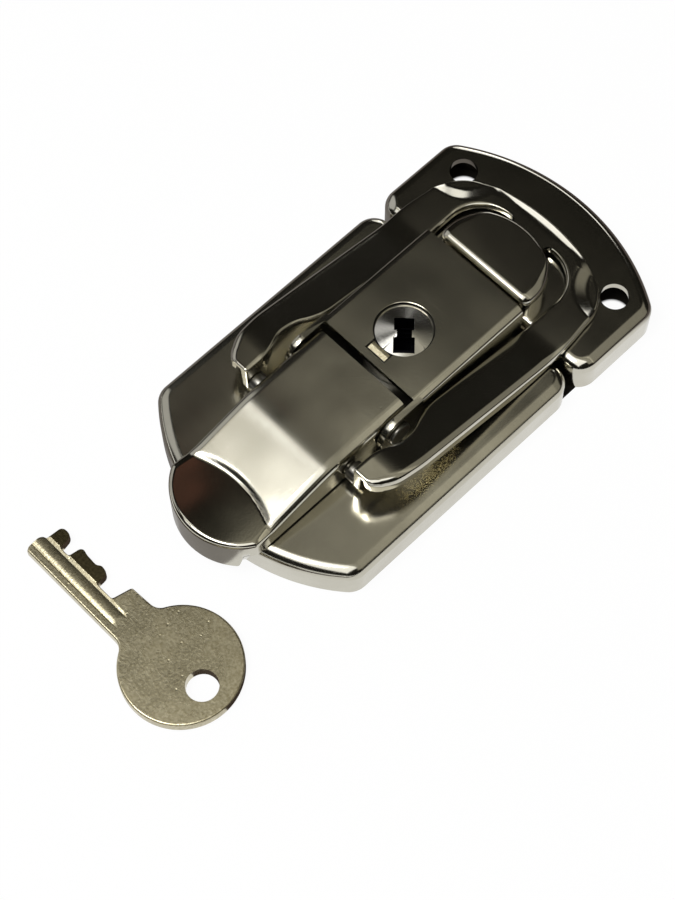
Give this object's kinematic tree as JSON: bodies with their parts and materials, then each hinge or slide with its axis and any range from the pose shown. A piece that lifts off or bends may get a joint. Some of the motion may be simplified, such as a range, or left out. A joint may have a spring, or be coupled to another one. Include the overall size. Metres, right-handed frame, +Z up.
{
  "type": "cargo box latch",
  "caption": "Lockable over-centre draw latch in pressed stainless steel: base pan, thumb lever, cranked loop, hooked strike plate, key lock under a cover, and a loose key.",
  "frame": {"origin": "where the key axis meets the mounting plane", "axes": "+X across the latch, +Y along the pull toward the strike plate, +Z up off the panel"},
  "size_m": [0.0408, 0.0989, 0.0125],
  "materials": {
    "stainless": "polished stainless steel",
    "satin_stainless": "dull polished stainless steel",
    "pin_steel": "plain steel",
    "zinc": "die cast",
    "nickel": "bright nickel plate",
    "wafer_brass": "stamped",
    "key_brass": "worn nickel plate on brass"
  },
  "bodies": {
    "base": {"base_plate": "stainless", "strike_plate": "stainless", "lock_cover": "satin_stainless", "lever_pin": "pin_steel", "lock_barrel": "zinc", "barrel_rivets": "pin_steel"},
    "lever": {"lever": "satin_stainless"},
    "loop": {"draw_loop": "stainless", "loop_pins": "pin_steel"},
    "plug": {"key_plug": "nickel", "lock_cam": "pin_steel", "cam_washer": "pin_steel", "cam_screw": "pin_steel", "wafer_spring_1": "pin_steel", "wafer_spring_2": "pin_steel", "wafer_spring_3": "pin_steel", "wafer_spring_4": "pin_steel"},
    "key": {"key": "key_brass"},
    "wafer_1": {"wafer_1": "wafer_brass"},
    "wafer_2": {"wafer_2": "wafer_brass"},
    "wafer_3": {"wafer_3": "wafer_brass"},
    "wafer_4": {"wafer_4": "wafer_brass"}
  },
  "joints": [
    {"name": "lever_lift", "type": "hinge", "parent": "base", "child": "lever", "pos_m": [0, -0.0107, 0.0088], "axis": [-1, 0, 0], "range_deg": [0, 86]},
    {"name": "loop_swing", "type": "hinge", "parent": "lever", "child": "loop", "pos_m": [0, -0.0188, 0.008], "axis": [-1, 0, 0], "range_deg": [-75.6, 0]},
    {"name": "plug_turn", "type": "hinge", "parent": "base", "child": "plug", "pos_m": [0, 0, 0.008], "axis": [0, 0, -1], "range_deg": [0, 90]},
    {"name": "key_lift", "type": "slide", "parent": "base", "child": "key", "axis": [0, 0, 1], "range_m": [0, 0.05]},
    {"name": "wafer_1_slide", "type": "slide", "parent": "plug", "child": "wafer_1", "axis": [0.6947, -0.7193, 0], "range_m": [0, 0.0005]},
    {"name": "wafer_2_slide", "type": "slide", "parent": "plug", "child": "wafer_2", "axis": [0.6947, -0.7193, 0], "range_m": [0, 0.0004]},
    {"name": "wafer_3_slide", "type": "slide", "parent": "plug", "child": "wafer_3", "axis": [0.6947, -0.7193, 0], "range_m": [0, 0.000275]},
    {"name": "wafer_4_slide", "type": "slide", "parent": "plug", "child": "wafer_4", "axis": [0.6947, -0.7193, 0], "range_m": [0, 0.00045]}
  ],
  "couplings": [
    {"joint": "loop_swing", "follows": "lever_lift", "ratio": -0.878},
    {"joint": "wafer_2_slide", "follows": "wafer_1_slide", "ratio": 0.8},
    {"joint": "wafer_3_slide", "follows": "wafer_1_slide", "ratio": 0.55},
    {"joint": "wafer_4_slide", "follows": "wafer_1_slide", "ratio": 0.9}
  ]
}
